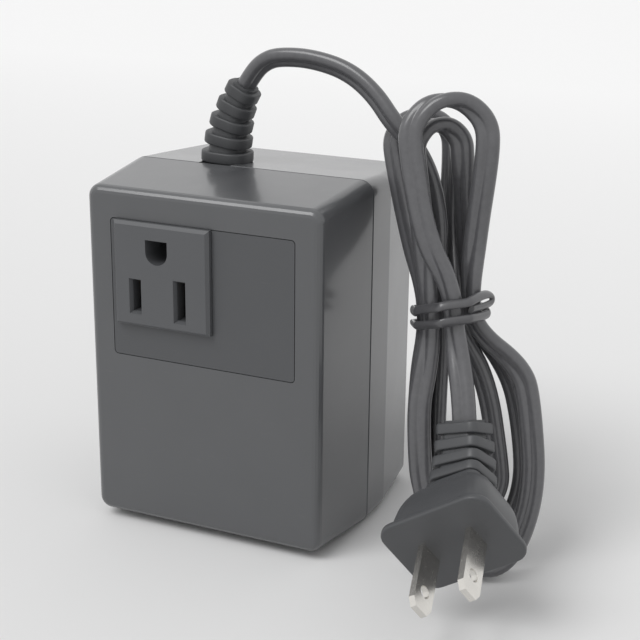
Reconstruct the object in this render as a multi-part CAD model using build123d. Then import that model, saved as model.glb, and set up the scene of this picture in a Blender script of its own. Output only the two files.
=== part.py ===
"""Travel voltage converter: two-shell case, flush outlet panel, transformer, tied mains cord and plug.

Frame: +Z up, +Y towards the back, origin under the middle of the case on the surface it stands on.
"""

from build123d import *
import os
from math import ceil, cos, degrees, pi, radians, sin, tan

import numpy as np

# Case: width at the seam, room above the core, and the draft to the face and to the back
seam_width = 69.5
core_headroom = 35.3
face_height_draft = 2.5
face_draft = 2.35
back_draft = 2.55
front_depth = 26.0
collar_depth = 11.4
rear_room = 13.2
collar_top_drop = 0.8
back_top_drop = 1.2
back_foot_rise = 1.2
wall = 2.4
face_corner = 3.2
seam_corner = 3.8
back_corner = 3.4
face_edge_round = 1.8
back_edge_round = 1.4
seam_chamfer = 0.35
tongue_length = 2.0
joint_gap = 0.15

# Panel plate and its pocket in the face
panel_side_margin = 6.9
panel_height = 35.6
panel_thickness = 0.9
panel_corner = 0.9
panel_gap = 0.2
panel_below_block = 4.4

# Outlet block, its slots and its rear housing
block_size = 27.0
block_proud = 2.0
block_chamfer = 0.8
block_gap = 0.1
block_side_inset = 24.35
block_drop = 23.7
slot_pitch = 12.7
slot_width = 2.4
slot_lead_in = 0.55
slot_lead_depth = 1.1
neutral_slot_height = 10.0
line_slot_height = 8.1
slot_shift = -1.0
slot_drop = 5.6
ground_rise = 11.9
ground_width = 6.2
ground_depth = 12.5
ear_thickness = 1.6
ear_reach = 5.2
ear_height = 8.0
outlet_post_length = 3.0
outlet_post_radius = 2.4
housing_margin = 1.2
housing_end = 14.0
pocket_width = 5.0
pocket_height = 11.0
retainer_thickness = 1.8
retainer_gap = 0.1
outlet_screw_radius = 1.0
outlet_pilot_radius = 0.85
outlet_pilot_cover = 0.4
outlet_screw_head_radius = 2.0
outlet_screw_head_height = 1.3
outlet_screw_length = 5.6

# Outlet contacts: folded spring clips
contact_leaf = 0.5
contact_opening = 1.3
contact_height = 7.0
contact_length = 8.5
tab_width = 3.0
tab_length = 6.0

# Screw posts that join the two shells
post_side_inset = 6.55
post_low = 6.0
post_top_inset = 9.0
post_radius = 3.4
screw_radius = 1.45
pilot_radius = 1.2
screw_head_radius = 2.3
screw_head_height = 1.9
head_bore_radius = 2.5
head_bore_end = 8.0
screw_bite = 9.0
pilot_slack = 1.5
recess_radius = 0.9
recess_depth = 1.0

# Laminated core: one lamination leg sets the whole stack, and the case's width sets the leg
core_side_gap = 3.85
core_legs = 6
core_height_legs = 5
stack_depth = 30.0
stack_front = 16.6
core_rise = 10.6
frame_gauge = 1.0
frame_width = 22.0
frame_tab = 8.0

# Coil former and windings
former_gap = 0.2
former_wall = 1.0
former_margin = 0.3
primary_share = 8 / 15
barrier_build = 0.3
tape_build = 0.4
window_slack = 1.6
winding_corner = 1.6
flange_inset = 0.8
pin_radius = 0.4
pin_length = 5.0
pin_count = 4
pin_pitch = 2.2
pin_edge = 1.2
pin_setback = 1.4
fuse_radius = 1.5
fuse_length = 9.0
fuse_lead_radius = 0.35
fuse_lead_length = 6.0
fuse_gap = 0.1

# Ribs of both shells that hold the core
rib_thickness = 1.8
rib_inset = 5.0
rib_gap = 0.3
cradle_inset = 15.5
cradle_depth = 18.0

# Cord: flat twin lead
cord_thickness = 3.3
cord_width = 5.8
wire_radius = 0.8

# Insulated wires inside the case: how far they rise and step aside on their way
outlet_lead_rises = (10.4, 16.0)
outlet_lead_shelves = (9.5, 19.0)
outlet_lead_loop = 9.5
outlet_lead_steps = (2.4, 4.0)
mains_lead_drop = 3.2
mains_lead_rise = 6.4
mains_lead_shelves = (19.0, 22.8)
inlet_spread = 0.96

# Ribbed boot where the cord leaves the top of the case
boot_shift = -10.2
boot_setback = 33.3
boot_length = 21.6
boot_bend = 32.0
boot_base_width = 13.6
boot_base_depth = 11.6
boot_top_width = 8.2
boot_top_depth = 8.0
boot_ribs = 5
boot_rib_share = 0.68
boot_core_shares = (0.72, 0.86)
boot_rib_round = 0.5
boot_groove_radius = 4.6
boot_inner_radius = 6.6
boot_inner_thickness = 2.0
boot_notch_gap = 0.1
boot_seat = 0.5

# Plug: place of its face's middle, heading, dip and roll of the face, and its moulding
plug_place = (74.8, -49.7, 24.2)
plug_heading = 13.0
plug_dip = 20.5
plug_roll = 33.7
plug_face_width = 28.6
plug_face_depth = 21.8
plug_face_corner = 4.2
plug_flange = 1.8
plug_flange_round = 0.7
plug_body_width = 25.8
plug_body_depth = 19.0
plug_body_corner = 4.4
plug_neck_width = 15.0
plug_neck_depth = 11.6
plug_neck_corner = 3.0
plug_body_length = 12.6
plug_shoulder_steps = 5
neck_length = 20.4
neck_bend = 48.0
neck_toward = -65.0
neck_top_width = 11.4
neck_top_depth = 9.0
neck_ribs = 5
neck_rib_share = 0.62
neck_core_shares = (0.72, 0.8)
neck_rib_round = 0.5
relief_corner_share = 0.42

# Plug blades, as on a two-pin 15 A plug
blade_pitch = 12.7
blade_width = 6.35
blade_thickness = 1.52
blade_length = 17.0
blade_root = 7.0
blade_tip_side = 1.2
blade_tip_length = 2.0
blade_hole_radius = 1.55
blade_hole_setback = 11.7

# Hank: where its waist is, how it leans, and the height of its tie
hank_place = (58.0, -5.4, 64.9)
hank_heading = 25.6
hank_lean = 13.3
hank_roll = 4.3
hank_waist = 5.0
layer_pitch = 6.3
strand_pitch = 3.8
hank_middle = -1.5
front_spread = 5.0
tail_tuck = 0.4
fold_side_drop = 1 / 3
bend_share = 0.45
tie_band = 3.2
tie_thickness = 1.1
tie_gap = 0.5
tie_space = 0.5
tie_shoulder_share = 0.7
tie_front_share = 1.4

# Free route of the cord from the boot to the hank, past the case's right shoulder
lead_route = [
    (0.9, 4.35, 119.6),
    (5.0, 4.2, 121.1),
    (14.0, 3.9, 121.3),
    (24.3, 3.0, 119.2),
    (32.3, 1.6, 114.3),
    (38.4, 0.0, 107.4),
]

# The same cord inside the hank's first strand, in the hank's own frame: across, up, forward
entry_route = [
    (-7.6, 40.6, -3.15),
    (-3.9, 32.0, -3.15),
    (-2.7, 21.5, -3.15),
    (-3.4, 12.0, -3.15),
]

# Last strand from the tie to the plug's neck, in the hank's own frame
tail_route = [
    (-1.5, -6.2, 9.1),
]
boot_exit = 4.0
neck_exit = 6.5
relief_stub = 0.8

# Widths that cuts run past a face, and sampling of the cord
overrun = 1.0
sample_step = 0.8
least_self_gap = 0.4
near_span = 14.0

# Sizes and places worked out from the sizes above
core_width = seam_width - 2 * (wall + core_side_gap)
lamination_leg = core_width / core_legs
core_top = core_rise + core_height_legs * lamination_leg
seam_height = core_top + core_headroom
face_width = seam_width - 2 * face_draft
face_height = seam_height - 2 * face_height_draft
back_width = seam_width - 2 * back_draft
rear_depth = stack_front + stack_depth + rear_room - front_depth - collar_depth
case_depth = front_depth + collar_depth + rear_depth
face_y = (block_proud - case_depth) / 2
seam_y = face_y + front_depth
ridge_y = seam_y + collar_depth
back_y = ridge_y + rear_depth
face_low = (seam_height - face_height) / 2
stations = [
    (face_y, face_width, face_low, face_low + face_height, face_corner),
    (seam_y, seam_width, 0.0, seam_height, seam_corner),
    (ridge_y, seam_width, 0.0, seam_height - collar_top_drop, seam_corner),
    (back_y, back_width, back_foot_rise, seam_height - collar_top_drop - back_top_drop, back_corner),
]
window_low = core_rise + lamination_leg
window_high = window_low + 3 * lamination_leg
stack_y = face_y + stack_front
stack_middle = stack_y + stack_depth / 2
outlet_inner = face_y + wall + outlet_post_length
housing_y = face_y + housing_end
post_spread = seam_width / 2 - post_side_inset
post_high = seam_height - post_top_inset
block_shift = block_side_inset - seam_width / 2
block_rise = seam_height - block_drop
panel_width = face_width - 2 * panel_side_margin
panel_rise = block_rise - panel_below_block
rib_spread = core_width / 2 - rib_inset
cradle_spread = core_width / 2 - cradle_inset


def box(low, high):
    """A box between two corners."""
    size = [b - a for a, b in zip(low, high)]
    middle = [(a + b) / 2 for a, b in zip(low, high)]
    return Pos(*middle) * Box(*size)


def rod(radius, start, end):
    """A round bar between two points."""
    axis = Vector(*end) - Vector(*start)
    return extrude(Plane(origin=start, z_dir=axis) * Circle(radius), axis.length)


def upright(y, height, shift=0.0):
    """A plane across the case at depth y, facing the front."""
    return Plane(origin=(shift, y, height), x_dir=(1, 0, 0), z_dir=(0, -1, 0))


def case_outline(y, inset=0.0):
    """The case's outline at depth y, drawn in by inset."""
    for (y0, w0, low0, high0, r0), (y1, w1, low1, high1, r1) in zip(stations, stations[1:]):
        if y <= y1 + 1e-6:
            break
    share = (y - y0) / (y1 - y0)
    width = w0 + (w1 - w0) * share - 2 * inset
    low = low0 + (low1 - low0) * share + inset
    high = high0 + (high1 - high0) * share - inset
    radius = max(r0 + (r1 - r0) * share - inset, wall / 4)
    return upright(y, (low + high) / 2) * RectangleRounded(width, high - low, radius)


def case_solid(levels, inset=0.0):
    """A ruled solid through the case's outlines at the given depths."""
    return loft([case_outline(y, inset) for y in levels], ruled=True)


def case_skin(levels, rounds):
    """The case's outside between depths, with its last edges rounded off or bevelled in steps.

    rounds gives for a depth the radius of a round (three steps) or the leg of a bevel (one step).
    """
    sections = []
    for y in levels:
        radius, steps = rounds.get(y, (0, 0))
        inward = 1 if y == levels[0] else -1
        drawn = [(y, 0.0)]
        if steps:
            turns = [pi / 2 * i / steps for i in range(steps + 1)]
            drawn = [(y + inward * radius * (1 - sin(turn)), radius * (1 - cos(turn))) for turn in turns]
        sections += drawn[::-inward]
    return loft([case_outline(y, inset) for y, inset in sections], ruled=True)


def post_places():
    """Centres of the four screw posts, across and up."""
    return [(x, z) for x in (-post_spread, post_spread) for z in (post_low, post_high)]


# Front cover
def make_front_cover():
    shell = case_skin([face_y, seam_y], {face_y: (face_edge_round, 4), seam_y: (seam_chamfer, 1)})
    inside = case_solid([face_y + wall, seam_y], wall)
    rebate = case_solid([seam_y - tongue_length - joint_gap, seam_y], wall / 2)
    shell = shell - inside - rebate
    posts = []
    for x, z in post_places():
        posts.append(rod(post_radius, (x, face_y + wall / 2, z), (x, seam_y, z)))
    for side in (-1, 1):
        x = side * rib_spread
        posts.append(box((x - rib_thickness / 2, face_y + wall / 2, core_rise),
                         (x + rib_thickness / 2, stack_y - rib_gap, core_top - lamination_leg)))
    for x in outlet_screw_places():
        posts.append(rod(outlet_post_radius, (x, face_y + wall / 2, block_rise),
                         (x, outlet_inner, block_rise)))
    within = case_solid([face_y + wall / 2, seam_y], wall / 2)
    for post in posts:
        shell = shell + (post & within)
    for x, z in post_places():
        start = seam_y - screw_bite - pilot_slack
        shell = shell - rod(pilot_radius, (x, start, z), (x, seam_y + overrun, z))
    for x in outlet_screw_places():
        start = face_y + panel_thickness + panel_gap + outlet_pilot_cover
        shell = shell - rod(outlet_pilot_radius, (x, start, block_rise),
                            (x, outlet_inner + overrun, block_rise))
    pocket = upright(face_y + panel_thickness + panel_gap, panel_rise) * RectangleRounded(
        panel_width + 2 * panel_gap, panel_height + 2 * panel_gap, panel_corner + panel_gap)
    shell = shell - extrude(pocket, panel_thickness + panel_gap + overrun)
    opening = block_size / 2 + block_gap
    return shell - box((block_shift - opening, face_y - overrun, block_rise - opening),
                       (block_shift + opening, face_y + wall + overrun, block_rise + opening))


# Rear cover
def boot_top_height():
    """Height of the case's top where the boot leaves it."""
    share = (boot_setback - front_depth) / collar_depth
    return seam_height - collar_top_drop * share


def make_rear_cover():
    shell = case_skin([seam_y, ridge_y, back_y], {seam_y: (seam_chamfer, 1), back_y: (back_edge_round, 3)})
    shell = shell - case_solid([seam_y, ridge_y, back_y - wall], wall)
    tongue_levels = [seam_y - tongue_length, seam_y]
    tongue = case_solid(tongue_levels, wall / 2 + joint_gap) - case_solid(tongue_levels, wall)
    tongue_root = case_solid([seam_y, seam_y + wall / 2], wall / 2 + joint_gap)
    tongue_root = tongue_root - case_solid([seam_y, seam_y + wall / 2], wall)
    shell = shell + tongue + tongue_root
    for x, z in post_places():
        cut = post_radius + joint_gap
        shell = shell - rod(cut, (x, seam_y - tongue_length - overrun, z), (x, seam_y, z))
    within = case_solid([seam_y, ridge_y, back_y - wall / 2], wall / 2)
    for x, z in post_places():
        shell = shell + (rod(post_radius, (x, seam_y, z), (x, back_y - wall / 2, z)) & within)
    for side in (-1, 1):
        x = side * rib_spread
        rib = box((x - rib_thickness / 2, stack_y + stack_depth + rib_gap, core_rise),
                  (x + rib_thickness / 2, back_y - wall / 2, core_top))
        cradle_x = side * cradle_spread
        cradle = box((cradle_x - rib_thickness / 2, stack_middle - cradle_depth / 2 + overrun, wall / 2),
                     (cradle_x + rib_thickness / 2, stack_middle + cradle_depth / 2, core_rise - rib_gap))
        behind_seam = box((-seam_width, seam_y, -overrun), (seam_width, back_y, seam_height))
        shell = shell + (rib & within) + (cradle & behind_seam & within)
    for x, z in post_places():
        shell = shell - rod(screw_radius + joint_gap, (x, seam_y - overrun, z), (x, back_y, z))
        shell = shell - rod(head_bore_radius, (x, seam_y + head_bore_end, z), (x, back_y + overrun, z))
    notch_radius = boot_groove_radius + boot_notch_gap
    notch_y = face_y + boot_setback
    notch_low = seam_height - wall - collar_top_drop - overrun
    notch = rod(notch_radius, (boot_shift, notch_y, notch_low), (boot_shift, notch_y, seam_height + overrun))
    notch = notch + box((boot_shift - notch_radius, seam_y - tongue_length - overrun, notch_low),
                        (boot_shift + notch_radius, notch_y, seam_height + overrun))
    return shell - notch


# Panel plate
def make_panel_plate():
    outline = upright(face_y + panel_thickness, panel_rise) * RectangleRounded(
        panel_width, panel_height, panel_corner)
    plate = extrude(outline, panel_thickness)
    opening = block_size / 2 + block_gap
    return plate - box((block_shift - opening, face_y - overrun, block_rise - opening),
                       (block_shift + opening, face_y + wall, block_rise + opening))


# Outlet
def outlet_screw_places():
    reach = block_size / 2 + ear_reach / 2
    return [block_shift - reach, block_shift + reach]


def slot_places():
    """Centre and height of the line and neutral slots."""
    middle = block_shift + slot_shift
    height = block_rise - slot_drop
    return [(middle - slot_pitch / 2, height, line_slot_height),
            (middle + slot_pitch / 2, height, neutral_slot_height)]


def make_outlet_body():
    front_y = face_y - block_proud
    half = block_size / 2
    block = box((block_shift - half, front_y, block_rise - half),
                (block_shift + half, outlet_inner, block_rise + half))
    block = chamfer(block.faces().sort_by(Axis.Y)[0].edges(), block_chamfer)
    ear = half + ear_reach
    ears = box((block_shift - ear, outlet_inner, block_rise - ear_height / 2),
               (block_shift + ear, outlet_inner + ear_thickness, block_rise + ear_height / 2))
    inner = half - housing_margin
    housing = box((block_shift - inner, outlet_inner, block_rise - inner),
                  (block_shift + inner, housing_y, block_rise + inner))
    body = block + ears + housing
    for x, z, height in slot_places():
        body = body - box((x - slot_width / 2, front_y - overrun, z - height / 2),
                          (x + slot_width / 2, housing_y, z + height / 2))
        mouth = upright(front_y, z, x) * Rectangle(slot_width + 2 * slot_lead_in,
                                                   height + 2 * slot_lead_in)
        throat = upright(front_y + slot_lead_depth, z, x) * Rectangle(slot_width, height)
        body = body - loft([mouth, throat], ruled=True)
        body = body - box((x - pocket_width / 2, face_y + wall, z - pocket_height / 2),
                          (x + pocket_width / 2, housing_y + overrun, z + pocket_height / 2))
    ground_x = block_shift + slot_shift
    ground_z = block_rise - slot_drop + ground_rise
    half_ground = ground_width / 2
    ground = rod(half_ground, (ground_x, front_y - overrun, ground_z),
                 (ground_x, front_y + ground_depth, ground_z))
    ground = ground + box((ground_x - half_ground, front_y - overrun, ground_z),
                          (ground_x + half_ground, front_y + ground_depth, ground_z + half_ground))
    body = body - ground
    for x in outlet_screw_places():
        body = body - rod(outlet_screw_radius + joint_gap, (x, outlet_inner - overrun, block_rise),
                          (x, outlet_inner + ear_thickness + overrun, block_rise))
    return body


def make_outlet_retainer():
    inner = block_size / 2 - housing_margin
    plate = box((block_shift - inner, housing_y, block_rise - inner),
                (block_shift + inner, housing_y + retainer_thickness, block_rise + inner))
    half_slit = contact_leaf / 2 + retainer_gap
    half_tab = tab_width / 2 + retainer_gap
    for x, z, height in slot_places():
        plate = plate - box((x - half_slit, housing_y - overrun, z - half_tab),
                            (x + half_slit, housing_y + retainer_thickness + overrun, z + half_tab))
    return plate


def make_contact(place):
    x, z, height = place
    outer = contact_opening / 2 + contact_leaf
    start_y = housing_y - contact_length
    clip = box((x - outer, start_y, z - contact_height / 2), (x + outer, housing_y, z + contact_height / 2))
    clip = clip - box((x - contact_opening / 2, start_y - overrun, z - contact_height),
                      (x + contact_opening / 2, housing_y - contact_leaf, z + contact_height))
    return clip + box((x - contact_leaf / 2, housing_y - contact_leaf / 2, z - tab_width / 2),
                      (x + contact_leaf / 2, housing_y + tab_length, z + tab_width / 2))


def make_outlet_screws():
    screws = []
    seat = outlet_inner + ear_thickness
    for x in outlet_screw_places():
        head = rod(outlet_screw_head_radius, (x, seat, block_rise),
                   (x, seat + outlet_screw_head_height, block_rise))
        tip = seat - outlet_screw_length + outlet_screw_head_height
        shank = rod(outlet_pilot_radius, (x, tip, block_rise), (x, seat, block_rise))
        screws.append(head + shank)
    return Compound(children=screws)


# Screws that join the shells
def make_cover_screws():
    screws = []
    seat = seam_y + head_bore_end
    for x, z in post_places():
        head = rod(screw_head_radius, (x, seat, z), (x, seat + screw_head_height, z))
        shank = rod(pilot_radius, (x, seam_y - screw_bite, z), (x, seat, z))
        recess = rod(recess_radius, (x, seat + screw_head_height - recess_depth, z),
                     (x, seat + screw_head_height + overrun, z))
        screws.append(head + shank - recess)
    return Compound(children=screws)


# Core
def make_core_e_stack():
    block = box((-core_width / 2, stack_y, core_rise), (core_width / 2, stack_y + stack_depth, window_high))
    for side in (-1, 1):
        inner = side * lamination_leg
        outer = side * 2 * lamination_leg
        block = block - box((min(inner, outer), stack_y - overrun, window_low),
                            (max(inner, outer), stack_y + stack_depth + overrun, window_high + overrun))
    return block


def make_core_i_stack():
    return box((-core_width / 2, stack_y, window_high), (core_width / 2, stack_y + stack_depth, core_top))


def make_core_frame():
    """Strap bent round the stack, with its ends folded under the yoke."""
    half = core_width / 2
    low_y = stack_middle - frame_width / 2
    high_y = stack_middle + frame_width / 2
    outer = box((-half - frame_gauge, low_y, core_rise - frame_gauge),
                (half + frame_gauge, high_y, core_top + frame_gauge))
    inner = box((-half, low_y - overrun, core_rise), (half, high_y + overrun, core_top))
    gap = box((-half + frame_tab, low_y - overrun, core_rise - frame_gauge - overrun),
              (half - frame_tab, high_y + overrun, core_rise))
    return outer - inner - gap


# Coil
def leg_outline(grow, corner, level):
    """A rounded outline round the core's middle leg, grown from it."""
    width, depth = 2 * lamination_leg + 2 * grow, stack_depth + 2 * grow
    return Plane(origin=(0, stack_middle, level)) * RectangleRounded(width, depth, corner)


def ring(build_in, build, low, high):
    """A winding or a tube round the core's middle leg."""
    outer = build_in + build
    return extrude(leg_outline(outer, outer, low) - leg_outline(build_in, build_in, low), high - low)


former_inside = former_gap
former_outside = former_inside + former_wall
former_low = window_low + former_margin
former_high = window_high - former_margin
winding_low = former_low + former_wall
winding_high = former_high - former_wall
winding_room = lamination_leg - window_slack - former_outside - barrier_build - tape_build
primary_build = winding_room * primary_share
secondary_build = winding_room - primary_build
primary_outside = former_outside + primary_build
barrier_outside = primary_outside + barrier_build
secondary_outside = barrier_outside + secondary_build
tape_outside = secondary_outside + tape_build
flange_reach = lamination_leg - flange_inset


def make_bobbin():
    tube = ring(former_inside, former_wall, former_low, former_high)
    for level in (former_low, former_high - former_wall):
        hole = leg_outline(former_inside, former_inside, level)
        flange = leg_outline(flange_reach, winding_corner, level) - hole
        tube = tube + extrude(flange, former_wall)
    return tube


def pin_places():
    y = stack_middle - stack_depth / 2 - flange_reach + pin_setback
    last = lamination_leg + flange_reach - pin_edge
    return [(last - pin_pitch * (pin_count - 1 - i), y) for i in range(pin_count)]


def make_coil_pins():
    pins = [rod(pin_radius, (x, y, former_high), (x, y, former_high + pin_length)) for x, y in pin_places()]
    return Compound(children=pins)


def make_thermal_fuse():
    y = stack_middle - stack_depth / 2 - tape_outside - fuse_radius - fuse_gap
    z = (winding_low + winding_high) / 2
    body = rod(fuse_radius, (-fuse_length / 2, y, z), (fuse_length / 2, y, z))
    reach = fuse_length / 2 + fuse_lead_length
    return body + rod(fuse_lead_radius, (-reach, y, z), (reach, y, z))


# Bent wires and the cord's route
def bend_radii(points):
    """For each corner the largest radius that its two runs allow."""
    radii = []
    for before, corner, after in zip(points, points[1:], points[2:]):
        run_in = Vector(*corner) - Vector(*before)
        run_out = Vector(*after) - Vector(*corner)
        half_turn = radians(run_in.get_angle(run_out)) / 2
        radii.append(bend_share * min(run_in.length, run_out.length) / tan(half_turn))
    return radii


def route_wire(points):
    return FilletPolyline(*points, radius=bend_radii(points))


def bent_rod(radius, points):
    path = route_wire(points)
    start = Plane(origin=points[0], z_dir=path % 0)
    return sweep(start * Circle(radius), path=path)


def make_outlet_leads():
    """Two insulated wires from the coil's pins to the outlet's tabs."""
    (x1, y1), (x2, y2) = pin_places()[:2]
    top = former_high + pin_length
    tabs = [(x, housing_y + tab_length, z) for x, z, height in slot_places()]
    clear_y = tabs[0][1] + tab_length / 2
    right = [(x1, y1, top), (x1, y1, top + outlet_lead_rises[0]),
             (x1 - wire_radius, clear_y, core_top + outlet_lead_shelves[0]),
             (tabs[1][0] + outlet_lead_loop, clear_y + wire_radius, tabs[1][2] + wire_radius),
             (tabs[1][0], clear_y, tabs[1][2]), tabs[1]]
    left = [(x2, y2, top), (x2, y2, top + outlet_lead_rises[1]),
            (x2, clear_y + outlet_lead_steps[0], core_top + outlet_lead_shelves[1]),
            (tabs[1][0], clear_y + outlet_lead_steps[1], tabs[0][2] + outlet_lead_loop),
            (tabs[0][0], clear_y + wire_radius, tabs[0][2]), tabs[0]]
    return Compound(children=[bent_rod(wire_radius, right), bent_rod(wire_radius, left)])


def make_mains_leads():
    """The cord's two cores inside the case, from the boot down to the coil's pins."""
    top = former_high + pin_length
    inlet_z = boot_top_height() - wall - boot_inner_thickness
    wires = []
    for side, shelf_height, (x, y) in zip((-1, 1), mains_lead_shelves, pin_places()[2:]):
        start_x = boot_shift + side * inlet_spread
        shelf = core_top + shelf_height
        wires.append(bent_rod(wire_radius, [
            (start_x, face_y + boot_setback, inlet_z),
            (start_x + wire_radius, face_y + boot_setback, inlet_z - mains_lead_drop),
            (x, face_y + boot_setback - 2 * wire_radius, shelf + mains_lead_drop),
            (x + wire_radius, y + mains_lead_drop, shelf - mains_lead_drop),
            (x, y, top + mains_lead_rise),
            (x, y, top)]))
    return Compound(children=wires)


# Ribbed strain reliefs
def relief(length, bend, toward, base, top, ribs, rib_share, core_shares, rounding):
    """A tapering ribbed sleeve on an arc that starts up local Z and bends towards a heading from local X.

    The core between the ribs has its own share of their width and of their depth.
    Returns the solid and the place of its far end.
    """
    angle = radians(bend)
    arc_radius = length / angle

    def place(s):
        turn = s / arc_radius
        arc = Pos(arc_radius * (1 - cos(turn)), 0, arc_radius * sin(turn)) * Rot(0, degrees(turn), 0)
        return Rot(0, 0, toward) * arc * Rot(0, 0, -toward)

    def section(s, shares):
        t = s / length
        width = (base[0] + (top[0] - base[0]) * t) * shares[0]
        depth = (base[1] + (top[1] - base[1]) * t) * shares[1]
        return RectangleRounded(width, depth, relief_corner_share * min(width, depth))

    steps = 2 * ribs
    stops = [length * i / steps for i in range(steps + 1)]
    body = loft([place(s) * section(s, core_shares) for s in stops], ruled=True)
    pitch = (length - relief_stub) / (ribs - 1 + rib_share)
    thickness = pitch * rib_share
    for i in range(ribs):
        s = pitch * i
        disc = extrude(section(s + thickness / 2, (1, 1)), thickness)
        body = body + place(s) * fillet(disc.edges(), rounding)
    return body, place(length)


def boot_base():
    return Pos(boot_shift, face_y + boot_setback, boot_top_height())


def make_cord_boot():
    sleeve, end = relief(boot_length, boot_bend, 0, (boot_base_width, boot_base_depth),
                         (boot_top_width, boot_top_depth), boot_ribs, boot_rib_share, boot_core_shares,
                         boot_rib_round)
    foot_corner = relief_corner_share * boot_base_depth
    foot = extrude(RectangleRounded(boot_base_width, boot_base_depth, foot_corner), -2 * boot_seat)
    case_top = case_solid([seam_y, ridge_y, back_y], -boot_notch_gap / 2)
    outside = boot_base() * (sleeve + foot) - case_top
    groove = Pos(0, 0, -wall / 2) * Cylinder(boot_groove_radius, wall + overrun)
    collar_z = -wall - boot_seat - boot_inner_thickness / 2
    collar = Pos(0, 0, collar_z) * Cylinder(boot_inner_radius, boot_inner_thickness)
    passage = box((-cord_width / 2, -cord_thickness / 2, collar_z - boot_inner_thickness),
                  (cord_width / 2, cord_thickness / 2, -wall / 2))
    filler = box((-boot_groove_radius, front_depth + joint_gap - boot_setback, -wall),
                 (boot_groove_radius, 0, 0))
    return outside + boot_base() * (groove + filler + collar - passage), boot_base() * end


# Plug
def plug_frame():
    """Local X from one blade to the other, local Z from the face back to the cord."""
    heading = radians(plug_heading)
    dip = radians(plug_dip)
    roll = radians(plug_roll)
    back = Vector(-sin(heading) * cos(dip), cos(heading) * cos(dip), sin(dip))
    level = Vector(cos(heading), sin(heading), 0)
    across = level * cos(roll) + level.cross(back) * sin(roll)
    return Plane(origin=plug_place, x_dir=across, z_dir=back)


def make_blade(x):
    """Flat blade with a tapered tip and a detent hole, root inside the moulding."""
    half = blade_width / 2
    tip = half - blade_tip_side
    shoulder = -blade_length + blade_tip_length
    outline = Polyline((-half, blade_root), (-half, shoulder), (-tip, -blade_length), (tip, -blade_length),
                       (half, shoulder), (half, blade_root), close=True)
    side = Plane(origin=(x + blade_thickness / 2, 0, 0), x_dir=(0, 1, 0), z_dir=(1, 0, 0))
    blade = extrude(side * make_face(outline), -blade_thickness)
    hole = rod(blade_hole_radius, (x - blade_thickness, 0, -blade_hole_setback),
               (x + blade_thickness, 0, -blade_hole_setback))
    return blade - hole


def make_plug():
    flange = extrude(RectangleRounded(plug_face_width, plug_face_depth, plug_face_corner), plug_flange)
    flange = fillet(flange.faces().sort_by(Axis.Z)[-1].edges(), plug_flange_round)
    levels = []
    for i in range(plug_shoulder_steps + 1):
        turn = pi / 2 * i / plug_shoulder_steps
        width = plug_neck_width + (plug_body_width - plug_neck_width) * cos(turn)
        depth = plug_neck_depth + (plug_body_depth - plug_neck_depth) * cos(turn)
        corner = plug_neck_corner + (plug_body_corner - plug_neck_corner) * cos(turn)
        level = Pos(0, 0, plug_flange + plug_body_length * sin(turn))
        levels.append(level * RectangleRounded(width, depth, corner))
    body = loft(levels, ruled=True)
    sleeve, end = relief(neck_length, neck_bend, neck_toward, (plug_neck_width, plug_neck_depth),
                         (neck_top_width, neck_top_depth), neck_ribs, neck_rib_share, neck_core_shares,
                         neck_rib_round)
    seat = Pos(0, 0, plug_flange + plug_body_length)
    blades = [make_blade(-blade_pitch / 2), make_blade(blade_pitch / 2)]
    plug = flange + body + seat * sleeve
    for blade in blades:
        plug = plug - blade
    frame = plug_frame()
    return frame * plug, [frame * blade for blade in blades], frame.location * seat * end


# Hank: its own frame, with X across, Y up and Z towards the front
def hank_frame():
    heading = radians(hank_heading)
    lean = radians(hank_lean)
    roll = radians(hank_roll)
    across = Vector(cos(heading), sin(heading), 0)
    up = Vector(-sin(heading) * sin(lean), cos(heading) * sin(lean), cos(lean))
    x_dir = across * cos(roll) + up * sin(roll)
    y_dir = up * cos(roll) - across * sin(roll)
    return Plane(origin=hank_place, x_dir=x_dir, z_dir=x_dir.cross(y_dir))


# Each strand's place in the waist, across and forward
back_layer = -layer_pitch / 2
front_layer = layer_pitch / 2
rear_layer = back_layer - layer_pitch
outer_layer = front_layer + layer_pitch
back_slots = [(hank_middle + strand_pitch * (i - 1.5), back_layer) for i in range(4)]
front_slots = [(hank_middle - front_spread, front_layer), (hank_middle + front_spread, front_layer)]
tail_slot = (hank_middle, outer_layer - tail_tuck)

# Each fold in winding order: end, first slot, last slot, left side, right side, reach, height of the
# round, layers of the first leg, of the round and of the last leg. A side is its place across, the share
# of its bulge at the leg's bend and the share of the leg below that bend.
hank_folds = [
    (-1, back_slots[1], back_slots[2], (-7.3, 0.5, 0.45), (8.6, 0.8, 0.45), 52.0, 10.0,
     (back_layer, back_layer, back_layer)),
    (1, back_slots[2], back_slots[0], (-12.0, 0.45, 0.45), (2.6, 0.0, 0.45), 47.6, 7.6,
     (rear_layer, rear_layer, rear_layer)),
    (-1, back_slots[0], back_slots[3], (-11.2, 0.6, 0.45), (15.0, 0.8, 0.45), 60.0, 22.0,
     (back_layer, back_layer, back_layer)),
    (1, back_slots[3], front_slots[0], (-8.0, 0.3, 0.45), (3.6, 0.3, 0.62), 44.2, 6.2,
     (back_layer, front_layer, front_layer)),
    (-1, front_slots[0], front_slots[1], (-11.2, 0.5, 0.45), (16.4, 0.88, 0.45), 65.0, 30.0,
     (front_layer, front_layer, front_layer)),
    (1, front_slots[1], tail_slot, (-9.2, 0.78, 0.45), (9.1, 0.4, 0.45), 49.6, 9.4,
     (front_layer, outer_layer, outer_layer)),
]


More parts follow.
